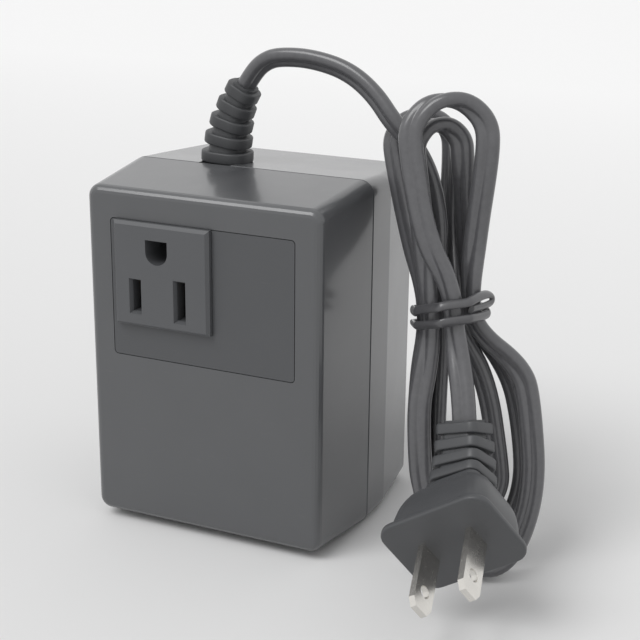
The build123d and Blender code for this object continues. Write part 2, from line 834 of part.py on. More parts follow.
def fold_points(end, first, last, left, right, reach, height, layers):
    """Corners of one fold of the hank, from the waist out and back to the waist.

    At the bottom the cord goes down on the left and up on the right, at the top it comes over to the left.
    """
    sides = (left, right) if end < 0 else (right, left)
    turn_start = reach - height
    legs = []
    for slot, (side, bulge, rise), layer in ((first, sides[0], layers[0]), (last, sides[1], layers[2])):
        legs.append([
            (slot[0], end * hank_waist, slot[1]),
            (slot[0] + (side - slot[0]) * bulge, end * turn_start * rise, layer),
            (side, end * (turn_start - height * fold_side_drop), layers[1]),
        ])
    middle = (sides[0][0] + sides[1][0]) / 2
    half = (sides[0][0] - sides[1][0]) / 2
    corner = pi / 8
    top = []
    for i in range(4):
        angle = corner * (2 * i + 1)
        across = middle + half * cos(angle) / cos(corner)
        up = turn_start + height * sin(angle) / cos(corner)
        top.append((across, end * up, layers[1]))
    return legs[0] + top + legs[1][::-1]


def hank_points():
    """The whole hank's corners in its own frame, from the first strand to the tie's front."""
    points = []
    for fold in hank_folds:
        points += fold_points(*fold)
    return points


def exit_run(end, length):
    """The cord's first straight run out of a strain relief."""
    return [tuple((end * Pos(0, 0, rise)).position) for rise in (0, length)]


def middle_of(first, last):
    return tuple((a + b) / 2 for a, b in zip(first, last))


def in_part(points):
    frame = hank_frame()
    return [tuple(frame.from_local_coords(Vector(*p))) for p in points]


def flat_cord(points, across):
    """The flat cord along a route, its wide side starting along one direction."""
    path = route_wire(points)
    tangent = path % 0
    section = Plane(origin=points[0], x_dir=across - tangent * across.dot(tangent), z_dir=tangent)
    cord = sweep(section * SlotOverall(cord_width, cord_thickness), path=path)
    area = (cord_width - cord_thickness) * cord_thickness + pi * (cord_thickness / 2) ** 2
    print("  length", round(path.length, 1), "least bend", round(min(bend_radii(points)), 1),
          "volume over section x length", round(cord.volume / area / path.length, 4))
    return cord


def sample_path(path):
    length = path.length
    count = ceil(length / sample_step)
    spots = [path @ (i / count) for i in range(count + 1)]
    tangents = [path % (i / count) for i in range(count + 1)]
    return np.array([tuple(p) for p in spots]), np.array([tuple(t) for t in tangents]), length / count


def twist_free(spots, tangents, start):
    """Side directions along the samples that turn with the path but don't twist round it."""
    side = start - tangents[0] * (tangents[0] @ start)
    sides = [side / np.linalg.norm(side)]
    for i in range(len(spots) - 1):
        step = spots[i + 1] - spots[i]
        side = sides[-1] - 2 * (step @ sides[-1]) / (step @ step) * step
        tangent = tangents[i] - 2 * (step @ tangents[i]) / (step @ step) * step
        turn = tangents[i + 1] - tangent
        if turn @ turn > 0:
            side = side - 2 * (turn @ side) / (turn @ turn) * turn
        sides.append(side)
    return np.array(sides)


def self_gap(routes, across):
    """Least clearance between one part of the flat cord and another, on points of its outline."""
    spots, wide, thin = [], [], []
    for route, forward in routes:
        places, tangents, step = sample_path(route_wire(route if forward else route[::-1]))
        sides = twist_free(places, tangents, np.array(tuple(across)))
        order = 1 if forward else -1
        spots.append(places[::order])
        wide.append(sides[::order])
        thin.append(np.cross(tangents, sides)[::order])
    spots, wide, thin = np.concatenate(spots), np.concatenate(wide), np.concatenate(thin)
    straight = (cord_width - cord_thickness) / 2
    angles = np.arange(16) * (pi / 8)
    along_wide = np.sign(np.cos(angles)) * straight + np.cos(angles) * cord_thickness / 2
    along_thin = np.sin(angles) * cord_thickness / 2
    across_wide = wide[:, None, :] * along_wide[:, None]
    across_thin = thin[:, None, :] * along_thin[:, None]
    outline = spots[:, None, :] + across_wide + across_thin
    skip = int(near_span / sample_step)
    found = []
    for i in range(len(spots) - skip):
        later = np.arange(i + skip, len(spots))
        close = later[np.linalg.norm(spots[later] - spots[i], axis=1) < cord_width + overrun]
        for j in close:
            gaps = np.linalg.norm(outline[i][:, None, :] - outline[j][None, :, :], axis=-1)
            found.append((gaps.min(), i, j))
    return min(found), spots, outline


# Tie round the hank's waist
def make_cord_tie():
    frame = hank_frame()
    half_thin = cord_thickness / 2 + tie_gap
    half_wide = cord_width / 2 + tie_gap
    left, right = back_slots[0][0] - half_thin, back_slots[3][0] + half_thin
    half_front = half_thin * tie_front_share
    shoulder = front_layer + half_wide * tie_shoulder_share
    corners = [
        (left, back_layer - half_wide), (right, back_layer - half_wide), (right, shoulder),
        (tail_slot[0] + half_front, tail_slot[1] + half_wide),
        (tail_slot[0] - half_front, tail_slot[1] + half_wide),
        (left, shoulder),
    ]
    loop = make_face(Polyline(*corners, close=True))
    band_outline = offset(loop, amount=tie_thickness) - loop
    across_plane = Plane(origin=(0, 0, 0), x_dir=(1, 0, 0), z_dir=(0, -1, 0))
    bands = []
    for level in (tie_space / 2 + tie_band, -tie_space / 2):
        bands.append(Pos(0, level, 0) * (across_plane * extrude(band_outline, tie_band)))
    link = box((left - tie_thickness, -tie_space, back_layer - tie_band / 2),
               (left, tie_space, back_layer + tie_band / 2))
    tie = bands[0] + bands[1] + link
    return frame * tie


def main():
    os.makedirs("parts", exist_ok=True)
    nodes = {
        "front_cover": make_front_cover(),
        "rear_cover": make_rear_cover(),
        "panel_plate": make_panel_plate(),
        "outlet_body": make_outlet_body(),
        "outlet_retainer": make_outlet_retainer(),
        "line_contact": make_contact(slot_places()[0]),
        "neutral_contact": make_contact(slot_places()[1]),
        "outlet_screws": make_outlet_screws(),
        "cover_screws": make_cover_screws(),
        "core_e_stack": make_core_e_stack(),
        "core_i_stack": make_core_i_stack(),
        "core_frame": make_core_frame(),
        "bobbin": make_bobbin(),
        "primary_winding": ring(former_outside, primary_build, winding_low, winding_high),
        "winding_barrier": ring(primary_outside, barrier_build, winding_low, winding_high),
        "secondary_winding": ring(barrier_outside, secondary_build, winding_low, winding_high),
        "outer_tape": ring(secondary_outside, tape_build, winding_low, winding_high),
        "coil_pins": make_coil_pins(),
        "thermal_fuse": make_thermal_fuse(),
        "outlet_leads": make_outlet_leads(),
        "mains_leads": make_mains_leads(),
    }
    nodes["cord_boot"], boot_end = make_cord_boot()
    nodes["plug_body"], blades, neck_end = make_plug()
    nodes["plug_blade_left"], nodes["plug_blade_right"] = blades

    across = hank_frame().z_dir
    lead = exit_run(boot_end, boot_exit) + lead_route + in_part(entry_route)
    hank = in_part(hank_points())
    tail = in_part(tail_route) + exit_run(neck_end, neck_exit)[::-1]
    hank_start, hank_end = middle_of(lead[-1], hank[0]), middle_of(hank[-1], tail[0])
    lead, hank, tail = lead + [hank_start], [hank_start] + hank + [hank_end], [hank_end] + tail
    least = self_gap([(lead, False), (hank, True), (tail, True)], across)[0]
    print("least gap of the cord to itself", round(least[0], 2), "wanted", least_self_gap)
    nodes["cord_lead"] = flat_cord(lead[::-1], across)
    nodes["cord_hank"] = flat_cord(hank, across)
    nodes["cord_tail"] = flat_cord(tail, across)
    nodes["cord_tie"] = make_cord_tie()
    for name, shape in nodes.items():
        export_step(shape, f"parts/{name}.step")


main()
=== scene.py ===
# %% [markdown]
# # A travel voltage converter with its tied cord
#
# The real object is a two-shell box round a small transformer. A ribbed boot on top lets out a flat
# twin cord, which is folded into a hank, tied at its waist and ended in a plug with two flat blades.
#
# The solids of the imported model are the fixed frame. Whatever has its right shape there keeps it and
# only gets a finish. The cord, its tie, the boot and the plug are soft mouldings, so they are made
# here again, finer, in the place that their solids hold.

from math import cos, pi, radians, sin

import bmesh
import bpy
import numpy as np
from mathutils import Matrix, Vector


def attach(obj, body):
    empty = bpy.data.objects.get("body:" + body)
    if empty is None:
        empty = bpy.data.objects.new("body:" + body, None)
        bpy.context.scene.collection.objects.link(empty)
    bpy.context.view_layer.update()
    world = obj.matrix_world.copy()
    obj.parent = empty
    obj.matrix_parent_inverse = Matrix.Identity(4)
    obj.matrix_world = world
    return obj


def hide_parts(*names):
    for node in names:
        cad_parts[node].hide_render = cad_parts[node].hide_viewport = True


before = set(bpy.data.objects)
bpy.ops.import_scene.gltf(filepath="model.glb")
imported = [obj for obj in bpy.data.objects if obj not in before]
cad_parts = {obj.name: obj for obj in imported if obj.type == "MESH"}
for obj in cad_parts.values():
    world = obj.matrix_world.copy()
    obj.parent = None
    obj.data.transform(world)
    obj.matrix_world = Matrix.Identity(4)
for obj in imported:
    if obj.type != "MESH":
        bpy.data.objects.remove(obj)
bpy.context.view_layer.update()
mm = 0.001
print("solids in the frame:", len(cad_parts))

# %% [markdown]
# ## Camera
#
# The view was found by fitting the case's edges: a long lens, standing to the right of the outlet's
# face and a little above it. Three turns describe it: the heading round the object, the dip below the
# horizon and a small roll. They are applied in that order, so each can be read and changed alone.

# %% Camera
camera_place = Vector((166.69, -322.94, 169.70)) * mm
camera_heading, camera_dip, camera_roll = 24.563, 18.012, 0.596
camera_lens, camera_sensor = 80.39, 36.0


def turn(degrees, axis):
    return Matrix.Rotation(radians(degrees), 4, axis)


camera = bpy.data.objects.new("camera", bpy.data.cameras.new("camera"))
bpy.context.scene.collection.objects.link(camera)
camera.data.lens = camera_lens
camera.data.sensor_width = camera_sensor
camera.matrix_world = (Matrix.Translation(camera_place) @ turn(camera_heading, "Z")
                       @ turn(90 - camera_dip, "X") @ turn(camera_roll, "Z"))
bpy.context.scene.camera = camera
bpy.context.scene.view_settings.view_transform = "Standard"
print("camera stands", round(camera_place.length, 3), "m from the origin")

# %% [markdown]
# ## Nodes as Python
#
# A finish is a graph of small sums: a grain plus a smudge, times a strength. Written out as nodes and
# links such sums are hard to read, so one class wraps a socket and lets Python's own signs add the
# nodes. A second class adds any node in one call. Both work on materials and on shapes made by nodes.

# %% Signals and graphs
class Signal:
    """A socket that takes part in Python sums."""

    def __init__(self, graph, socket):
        self.graph = graph
        self.socket = socket

    def sum_of(self, operation, *values):
        return self.graph.add("ShaderNodeMath", {"operation": operation}, dict(enumerate(values)))

    def __add__(self, other):
        return self.sum_of("ADD", self, other)

    def __sub__(self, other):
        return self.sum_of("SUBTRACT", self, other)

    def __rsub__(self, other):
        return self.sum_of("SUBTRACT", other, self)

    def __mul__(self, other):
        return self.sum_of("MULTIPLY", self, other)

    def __truediv__(self, other):
        return self.sum_of("DIVIDE", self, other)

    __radd__ = __add__
    __rmul__ = __mul__

    def fraction(self):
        return self.sum_of("FRACT", self)

    def root(self):
        return self.sum_of("SQRT", self)

    def part(self, name):
        """Another output of the same node."""
        return Signal(self.graph, self.socket.node.outputs[name])


class Graph:
    """Adds nodes to one tree."""

    def __init__(self, tree):
        self.tree = tree

    def add(self, kind, settings=None, values=None, output=0):
        node = self.tree.nodes.new(kind)
        for name, value in (settings or {}).items():
            setattr(node, name, value)
        for name, value in (values or {}).items():
            if isinstance(value, Signal):
                self.tree.links.new(value.socket, node.inputs[name])
            else:
                node.inputs[name].default_value = value
        return Signal(self, node.outputs[output])


mix_factor, mix_first, mix_second, mix_result = 0, 6, 7, 2
vector_first, vector_second, vector_result = 4, 5, 1
coat_roughness = 0.14


class Finish(Graph):
    """A material, its shader and the patterns that drive it."""

    def __init__(self, name, specular=0.5):
        self.material = bpy.data.materials.new(name)
        self.material.use_nodes = True
        super().__init__(self.material.node_tree)
        self.shader = self.tree.nodes["Principled BSDF"]
        self.shader.inputs["Specular IOR Level"].default_value = specular
        self.shader.inputs["Coat Roughness"].default_value = coat_roughness
        self.place = self.add("ShaderNodeTexCoord", output="Object")

    def drive(self, **values):
        """Sets the shader's sockets, named with _ for a space."""
        for name, value in values.items():
            socket = self.shader.inputs[name.replace("_", " ")]
            if isinstance(value, Signal):
                self.tree.links.new(value.socket, socket)
            else:
                socket.default_value = value

    def noise(self, size, detail=2.0, place=None, stretch=None):
        """Cloudy noise whose blots are about one size across, in metres."""
        place = place or self.place
        if stretch:
            place = self.add("ShaderNodeVectorMath", {"operation": "MULTIPLY"}, {0: place, 1: stretch})
        return self.add("ShaderNodeTexNoise", values={"Vector": place, "Scale": 1 / size, "Detail": detail})

    def between(self, factor, first, second):
        return self.add("ShaderNodeMix", {"data_type": "RGBA"},
                        {mix_factor: factor, mix_first: first, mix_second: second}, mix_result)

    def ramp(self, value, low, high):
        """0 below low, 1 above high."""
        return self.add("ShaderNodeMapRange", {"clamp": True},
                        {"Value": value, "From Min": low, "From Max": high})

    def bump(self, height, depth):
        """A relief that is depth metres deep where the height goes from 0 to 1."""
        return self.add("ShaderNodeBump", values={"Height": height, "Distance": depth, "Strength": 1.0})


def grey(level, warm=0.0, blue=0.0):
    """A grey with a little more or less red and blue, as an opaque colour."""
    return (level + warm, level, level + blue, 1.0)


print("signals and graphs are ready")

# %% [markdown]
# ## Light and floor
#
# Black plastic shows mostly what it reflects. A plain white room does the work: the world is white
# where the camera and gloss see it and softer where it lights, and one wide sun from the upper left
# gives the ridges of the cord their thin bright lines. The floor is a pale sheet with painted light
# falloff in its colour: darker near the camera and lighter towards the back, as swept paper looks
# under light. It keeps the real shadow.

# %% Light and floor
world_light, backdrop = 0.64, 0.95
sun_strength, sun_width = 1.35, 34.0
sun_heading, sun_height = -28.0, 52.0
floor_size, floor_near, floor_far = 24.0, 0.80, 0.95
falloff_start, falloff_end = 0.05, 0.75
paper_blot, paper_tone, paper_roughness = 0.9, 0.06, 0.9

world = bpy.data.worlds.new("white_room")
bpy.context.scene.world = world
world.use_nodes = True
room = Graph(world.node_tree)
seen = room.add("ShaderNodeLightPath", output="Is Camera Ray")
seen_directly = seen + seen.part("Is Glossy Ray") + seen.part("Is Transmission Ray")
room_colour = room.add("ShaderNodeMix", {"data_type": "RGBA"},
                       {mix_factor: seen_directly, mix_first: grey(world_light), mix_second: grey(backdrop)},
                       mix_result)
room.tree.links.new(room_colour.socket, room.tree.nodes["Background"].inputs["Color"])

sun = bpy.data.objects.new("sun", bpy.data.lights.new("sun", "SUN"))
bpy.context.scene.collection.objects.link(sun)
sun.data.energy = sun_strength
sun.data.angle = radians(sun_width)
sun.matrix_world = turn(sun_heading, "Z") @ turn(90 - sun_height, "X")

floor_finish = Finish("pale_floor", specular=0.1)
# Painted light falloff: the floor's colour goes from a darker grey near the camera to a lighter grey at the
# back.
depth_into_room = floor_finish.add("ShaderNodeSeparateXYZ", values={0: floor_finish.place}, output="Y")
painted_falloff = floor_finish.ramp(depth_into_room, falloff_start, falloff_end)
paper = floor_finish.noise(paper_blot)
painted_falloff_colour = floor_finish.between(painted_falloff, grey(floor_near), grey(floor_far))
floor_finish.drive(
    Base_Color=floor_finish.between(paper * paper_tone, painted_falloff_colour, grey(floor_near)),
    Roughness=paper_roughness)
floor_mesh = bpy.data.meshes.new("floor")
half_floor = floor_size / 2
floor_mesh.from_pydata([(-half_floor, -half_floor, 0), (half_floor, -half_floor, 0),
                        (half_floor, half_floor, 0), (-half_floor, half_floor, 0)], [], [(0, 1, 2, 3)])
floor_mesh.materials.append(floor_finish.material)
floor = bpy.data.objects.new("floor", floor_mesh)
bpy.context.scene.collection.objects.link(floor)
print("lit by a white room and a sun", sun_width, "degrees wide")

# %% [markdown]
# ## Moulded plastic and rubber
#
# The case is satin ABS from a mould with a fine spark-eroded texture. Such a skin has three scales:
# a grain of a third of a millimetre that the bump carries, soft clouds where hands have polished it,
# and a few faint scuffs. The boot and plug are soft vinyl: duller, with a coarser, softer grain. One
# function makes all of them, because they differ only in numbers.

# %% Moulded finishes
scuff_size, scuff_stretch = 5 * mm, (1.0, 1.0, 4.0)
scuff_low, scuff_high = 0.66, 0.80
scuff_share, scuff_level = 0.096, 2.0
cloud_share, grain_share, even_share = 0.35, 0.25, 0.2
tone_spread, red_cast, blue_cast, light_blue_cast, scuff_blue_cast = 0.12, -0.03, 0.05, 0.07, 0.1
cloud_dulls, scuff_polishes = 0.12, 0.06


def moulded(name, level, roughness, grain, depth, cloud=14 * mm, coat=0.0):
    """A near-black moulding: its grey level, its gloss, and the width and depth of its grain."""
    finish = Finish(name)
    fine = finish.noise(grain, detail=3.0)
    clouds = finish.noise(cloud)
    scuffs = finish.ramp(finish.noise(scuff_size, detail=4.0, stretch=scuff_stretch), scuff_low, scuff_high)
    tone = clouds * cloud_share + fine * grain_share + even_share
    dark = grey(level * (1 - tone_spread), warm=level * red_cast, blue=level * blue_cast)
    light = grey(level * (1 + tone_spread), warm=level * red_cast, blue=level * light_blue_cast)
    pale = grey(level * scuff_level, blue=level * scuff_blue_cast)
    finish.drive(
        Base_Color=finish.between(scuffs * scuff_share, finish.between(tone, dark, light), pale),
        Roughness=roughness + (clouds - 0.5) * cloud_dulls - scuffs * scuff_polishes,
        Coat_Weight=coat,
        Normal=finish.bump(fine, depth))
    return finish.material


case_plastic = moulded("case_plastic", level=0.079, roughness=0.36, grain=0.34 * mm, depth=0.016 * mm,
                       coat=0.7)
outlet_plastic = moulded("outlet_plastic", level=0.090, roughness=0.44, grain=0.30 * mm, depth=0.012 * mm)
panel_finish = moulded("panel_finish", level=0.078, roughness=0.50, grain=0.16 * mm, depth=0.006 * mm,
                       cloud=9 * mm)
boot_rubber = moulded("boot_rubber", level=0.054, roughness=0.46, grain=0.50 * mm, depth=0.020 * mm,
                      cloud=6 * mm)
plug_vinyl = moulded("plug_vinyl", level=0.068, roughness=0.42, grain=0.50 * mm, depth=0.016 * mm,
                     cloud=7 * mm)
print("moulded finishes: case, outlet, panel, boot, plug")

# %% [markdown]
# ## Cord finish
#
# The cord is glossy extruded vinyl. A die leaves faint lines that run along it, so the pattern has to
# follow the cord round every bend. The tube carries a map for that: U goes round it and V is the
# length in metres from the boot. A noise that is stretched far along V draws the die's lines.

# %% Extruded vinyl
die_lines = (70.0, 25.0, 1.0)
wave_size, dust_size = 9 * mm, 1.2 * mm
dust_spread, dust_blue_cast, dust_light_cast = 0.2, 0.05, 0.08
line_dulls, dust_dulls, line_relief_share = 0.08, 0.10, 0.5
vinyl_coat, vinyl_relief = 0.4, 0.03 * mm


def extruded(name, level, roughness):
    """Glossy vinyl with faint lines along the piece, which has to carry a map."""
    finish = Finish(name, specular=0.55)
    along = finish.add("ShaderNodeTexCoord", output="UV")
    lines = finish.noise(1.0, place=along, stretch=die_lines)
    waves = finish.noise(wave_size, detail=1.0)
    dust = finish.noise(dust_size, detail=3.0)
    dark = grey(level * (1 - dust_spread), blue=level * dust_blue_cast)
    light = grey(level * (1 + dust_spread), blue=level * dust_light_cast)
    finish.drive(
        Base_Color=finish.between(dust, dark, light),
        Roughness=roughness + lines * line_dulls + (dust - 0.5) * dust_dulls,
        Coat_Weight=vinyl_coat,
        Normal=finish.bump(lines * line_relief_share + waves, vinyl_relief))
    return finish.material


cord_vinyl = extruded("cord_vinyl", level=0.092, roughness=0.28)
tie_vinyl = extruded("tie_vinyl", level=0.070, roughness=0.28)
print("extruded finishes: cord, tie")

# %% [markdown]
# ## Metals
#
# The blades are nickel-plated brass, wiped bright along their length. The parts inside are zinc,
# brass and varnished core steel. All are one metal finish with another colour, another brushing
# direction and another depth; the core adds its sheets, and the windings their turns, as stripes that
# are worked out from the height or depth in the piece.

# %% Metals, film and wire
brush_length, brush_width, brush_size, stain_size = 0.2, 6.0, 1.2 * mm, 3.5 * mm
brush_dulls, stain_dulls, brush_relief = 0.16, 0.08, 0.004 * mm


def metal(name, colour, roughness, brush="Z", patina=0.15):
    """Brushed metal, with its strokes along one axis and duller blots where it has tarnished."""
    finish = Finish(name)
    stretch = tuple(brush_length if axis == brush else brush_width for axis in "XYZ")
    brushed = finish.noise(brush_size, detail=4.0, stretch=stretch)
    stain = finish.noise(stain_size, detail=3.0)
    dull = tuple(part * (1 - patina) for part in colour)
    finish.drive(
        Base_Color=finish.between(stain, (*dull, 1.0), (*colour, 1.0)),
        Metallic=1.0,
        Roughness=roughness + (brushed - 0.5) * brush_dulls + (stain - 0.5) * stain_dulls,
        Normal=finish.bump(brushed, brush_relief))
    return finish


def striped(finish, axis, pitch, depth):
    """Adds rounded stripes across an axis, as sheets or turns of wire make them."""
    height = finish.add("ShaderNodeSeparateXYZ", values={0: finish.place}, output=axis)
    centred = (height / pitch).fraction() * 2.0 - 1.0
    finish.drive(Normal=finish.bump((1.0 - centred * centred).root(), depth))
    return finish


blade_nickel = metal("blade_nickel", colour=(0.74, 0.72, 0.68), roughness=0.24).material
contact_brass = metal("contact_brass", colour=(0.80, 0.60, 0.30), roughness=0.30, brush="Y").material
screw_steel = metal("screw_steel", colour=(0.60, 0.60, 0.60), roughness=0.34).material
frame_steel = metal("frame_steel", colour=(0.62, 0.62, 0.59), roughness=0.38, brush="X").material
sheets = metal("core_steel", colour=(0.26, 0.26, 0.28), roughness=0.48, patina=0.4)
core_steel = striped(sheets, "Y", pitch=0.5 * mm, depth=0.10 * mm).material
turns = metal("winding_copper", colour=(0.72, 0.34, 0.16), roughness=0.26)
winding_copper = striped(turns, "Z", pitch=0.42 * mm, depth=0.18 * mm).material
former_nylon = moulded("former_nylon", level=0.72, roughness=0.42, grain=0.40 * mm, depth=0.010 * mm)
wire_sleeve = moulded("wire_sleeve", level=0.05, roughness=0.30, grain=0.60 * mm, depth=0.010 * mm,
                      cloud=4 * mm)

lap_width, lap_relief, film_cloud = 5.5 * mm, 0.06 * mm, 2.5 * mm
lap_low, lap_high = 0.02, 0.08
film_roughness, film_dulls = 0.22, 0.1
film_dark, film_light = (0.78, 0.56, 0.10, 1.0), (0.90, 0.70, 0.18, 1.0)
tape = Finish("tape_film", specular=0.6)
tape_height = tape.add("ShaderNodeSeparateXYZ", values={0: tape.place}, output="Z")
tape_edge = tape.ramp((tape_height / lap_width).fraction(), lap_low, lap_high)
tape_cloud = tape.noise(film_cloud)
tape.drive(
    Base_Color=tape.between(tape_cloud, film_dark, film_light),
    Roughness=film_roughness + tape_cloud * film_dulls,
    Normal=tape.bump(tape_edge, lap_relief))
tape_film = tape.material
print("metals, tape and wire are ready")

# %% [markdown]
# ## Finishes on the solids
#
# These solids have the real shape already. Each keeps its mesh and takes its finish in its material
# slots. The list pairs every finish with the pieces that wear it.

# %% Finishes on the solids
worn_by = [
    (case_plastic, ["front_cover", "rear_cover"]),
    (panel_finish, ["panel_plate"]),
    (outlet_plastic, ["outlet_body", "outlet_retainer"]),
    (contact_brass, ["line_contact", "neutral_contact", "coil_pins"]),
    (screw_steel, ["outlet_screws", "cover_screws", "thermal_fuse"]),
    (core_steel, ["core_e_stack", "core_i_stack"]),
    (frame_steel, ["core_frame"]),
    (former_nylon, ["bobbin"]),
    (winding_copper, ["primary_winding", "secondary_winding"]),
    (tape_film, ["winding_barrier", "outer_tape"]),
    (wire_sleeve, ["outlet_leads", "mains_leads"]),
    (blade_nickel, ["plug_blade_left", "plug_blade_right"]),
]
for finish, names in worn_by:
    for name in names:
        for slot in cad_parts[name].material_slots:
            slot.material = finish
print("finished solids:", sum(len(names) for finish, names in worn_by))

# %% [markdown]
# ## Skins through rings
#
# The cord, the boot and the plug are all one kind of shape: a section that travels along a line and
# changes a little on its way. A modeller would loft it. Here a ring of points is drawn for each
# station and the rings are joined by quads, which keeps the faces even and the edge flow along the
# piece, so the skin shades smoothly.

# %% Skins through rings
smooth_angle = 38.0


def finished_piece(name, mesh, material):
    """Puts a mesh into the scene as a smooth piece in one finish."""
    mesh.materials.clear()
    mesh.materials.append(material)
    mesh.shade_smooth()
    mesh.set_sharp_from_angle(angle=radians(smooth_angle))
    piece = bpy.data.objects.new(name, mesh)
    bpy.context.scene.collection.objects.link(piece)
    return piece


def skin(name, rings, lengths=None):
    """A closed mesh through rings of points. lengths gives each ring's V for the map, if it needs one."""
    count = len(rings[0])
    verts = [point for ring in rings for point in ring]
    faces = []
    for i in range(len(rings) - 1):
        for j in range(count):
            k = (j + 1) % count
            faces.append((i * count + j, i * count + k, (i + 1) * count + k, (i + 1) * count + j))
    last = (len(rings) - 1) * count
    faces.append(tuple(range(count))[::-1])
    faces.append(tuple(range(last, last + count)))
    mesh = bpy.data.meshes.new(name)
    mesh.from_pydata([tuple(v) for v in verts], [], faces)
    if lengths is not None:
        layer = mesh.uv_layers.new(name="along")
        for face in mesh.polygons:
            steps = [v % count for v in face.vertices]
            wraps = max(steps) == count - 1 and min(steps) == 0
            for loop in face.loop_indices:
                vertex = mesh.loops[loop].vertex_index
                step = vertex % count
                around = 1.0 if wraps and step == 0 and len(face.vertices) == 4 else step / count
                layer.data[loop].uv = (around, lengths[vertex // count])
    return mesh


def rounded_ring(width, depth, corner, steps=6):
    """A rounded rectangle as points in XY, counter-clockwise, with its corners as arcs."""
    ring = []
    corner = min(corner, width / 2, depth / 2)
    for quarter, (sx, sy) in enumerate([(1, 1), (-1, 1), (-1, -1), (1, -1)]):
        for i in range(steps + 1):
            angle = pi / 2 * (quarter + i / steps)
            ring.append(Vector((sx * (width / 2 - corner) + corner * cos(angle),
                                sy * (depth / 2 - corner) + corner * sin(angle), 0.0)))
    return ring


print("rings of", len(rounded_ring(1, 1, 0.2)), "points for moulded parts")

# %% [markdown]
# ## The cord's route
#
# The cord is 0.84 m long from the boot to the plug's neck, and the photograph shows all of it. It
# rises out of the boot, comes over in one arc and goes down into the hank. The hank is folded six
# times. Each fold leaves the waist, bulges, goes round its end and comes back, so each is worked out
# from the place of its two strands in the waist, its two sides and its reach.
#
# The points are in millimetres, those of the hank in the hank's own frame: across, up and forward.

# %% Route points
hank_place = (58.0, -5.4, 64.9)
hank_heading, hank_lean, hank_roll = 25.6, 13.3, 4.3
hank_waist = 5.0
layer_pitch, strand_pitch, hank_middle = 6.3, 3.8, -1.5
back_strands, front_spread, tail_tuck = 4, 5.0, 0.4
fold_side_drop, bend_share = 1 / 3, 0.45
cord_thickness, cord_width = 3.3, 5.8
boot_exit, neck_exit = 4.0, 6.5

lead_route = [
    (0.9, 4.35, 119.6),
    (5.0, 4.2, 121.1),
    (14.0, 3.9, 121.3),
    (24.3, 3.0, 119.2),
    (32.3, 1.6, 114.3),
    (38.4, 0.0, 107.4),
]
entry_route = [
    (-7.6, 40.6, -3.15),
    (-3.9, 32.0, -3.15),
    (-2.7, 21.5, -3.15),
    (-3.4, 12.0, -3.15),
]
tail_route = [
    (-1.5, -6.2, 9.1),
]

back_layer, front_layer = -layer_pitch / 2, layer_pitch / 2
rear_layer, outer_layer = back_layer - layer_pitch, front_layer + layer_pitch
middle_strand = (back_strands - 1) / 2
back_slots = [(hank_middle + strand_pitch * (i - middle_strand), back_layer) for i in range(back_strands)]
front_slots = [(hank_middle - front_spread, front_layer), (hank_middle + front_spread, front_layer)]
tail_slot = (hank_middle, outer_layer - tail_tuck)

# Each fold: end, first slot, last slot, left side, right side, reach, height of its round, layers.
# A side is how far out it goes, and how much of that and of the way up it has done at its bend.
hank_folds = [
    (-1, back_slots[1], back_slots[2], (-7.3, 0.5, bend_share), (8.6, 0.8, bend_share), 52.0, 10.0,
     (back_layer, back_layer, back_layer)),
    (1, back_slots[2], back_slots[0], (-12.0, 0.45, bend_share), (2.6, 0.0, bend_share), 47.6, 7.6,
     (rear_layer, rear_layer, rear_layer)),
    (-1, back_slots[0], back_slots[3], (-11.2, 0.6, bend_share), (15.0, 0.8, bend_share), 60.0, 22.0,
     (back_layer, back_layer, back_layer)),
    (1, back_slots[3], front_slots[0], (-8.0, 0.3, bend_share), (3.6, 0.3, 0.62), 44.2, 6.2,
     (back_layer, front_layer, front_layer)),
    (-1, front_slots[0], front_slots[1], (-11.2, 0.5, bend_share), (16.4, 0.88, bend_share), 65.0, 30.0,
     (front_layer, front_layer, front_layer)),
    (1, front_slots[1], tail_slot, (-9.2, 0.78, bend_share), (9.1, 0.4, bend_share), 49.6, 9.4,
     (front_layer, outer_layer, outer_layer)),
]


def fold_points(end, first, last, left, right, reach, height, layers):
    """Corners of one fold, from the waist out and back to the waist."""
    sides = (left, right) if end < 0 else (right, left)
    turn_start = reach - height
    legs = []
    for slot, (side, bulge, rise), layer in ((first, sides[0], layers[0]), (last, sides[1], layers[2])):
        legs.append([
            (slot[0], end * hank_waist, slot[1]),
            (slot[0] + (side - slot[0]) * bulge, end * turn_start * rise, layer),
            (side, end * (turn_start - height * fold_side_drop), layers[1]),
        ])
    middle = (sides[0][0] + sides[1][0]) / 2
    half = (sides[0][0] - sides[1][0]) / 2
    corner = pi / 8
    top = []
    for i in range(4):
        angle = corner * (2 * i + 1)
        across = middle + half * cos(angle) / cos(corner)
        up = turn_start + height * sin(angle) / cos(corner)
        top.append((across, end * up, layers[1]))
    return legs[0] + top + legs[1][::-1]


heading, lean = radians(hank_heading), radians(hank_lean)
hank_across = Vector((cos(heading), sin(heading), 0.0))
hank_up = Vector((-sin(heading) * sin(lean), cos(heading) * sin(lean), cos(lean)))
roll_turn = Matrix.Rotation(radians(hank_roll), 3, hank_across.cross(hank_up))
hank_across, hank_up = roll_turn @ hank_across, roll_turn @ hank_up
hank_forward = hank_across.cross(hank_up)


def hank_to_part(point):
    """A point of the hank's own frame, in the part's millimetres."""
    return Vector(hank_place) + point[0] * hank_across + point[1] * hank_up + point[2] * hank_forward


folded = [point for fold in hank_folds for point in fold_points(*fold)]
print("hank's axes:", [tuple(round(v, 3) for v in axis) for axis in (hank_across, hank_up, hank_forward)])

# %% [markdown]
# ## Where the boot and the plug's neck end
#
# Both are tapered sleeves on an arc: a strain relief that bends with the cord. One function gives the
# place at any length along such an arc, and the cord starts and ends where the two sleeves end.

# %% Sleeve arcs
boot_place = (-10.2, 4.4, 92.888)
boot_length, boot_bend = 21.6, 32.0
plug_place = (74.8, -49.7, 24.2)
plug_heading, plug_dip, plug_roll = 13.0, 20.5, 33.7
plug_flange, plug_body_length = 1.8, 12.6
neck_length, neck_bend, neck_toward = 20.4, 48.0, -65.0


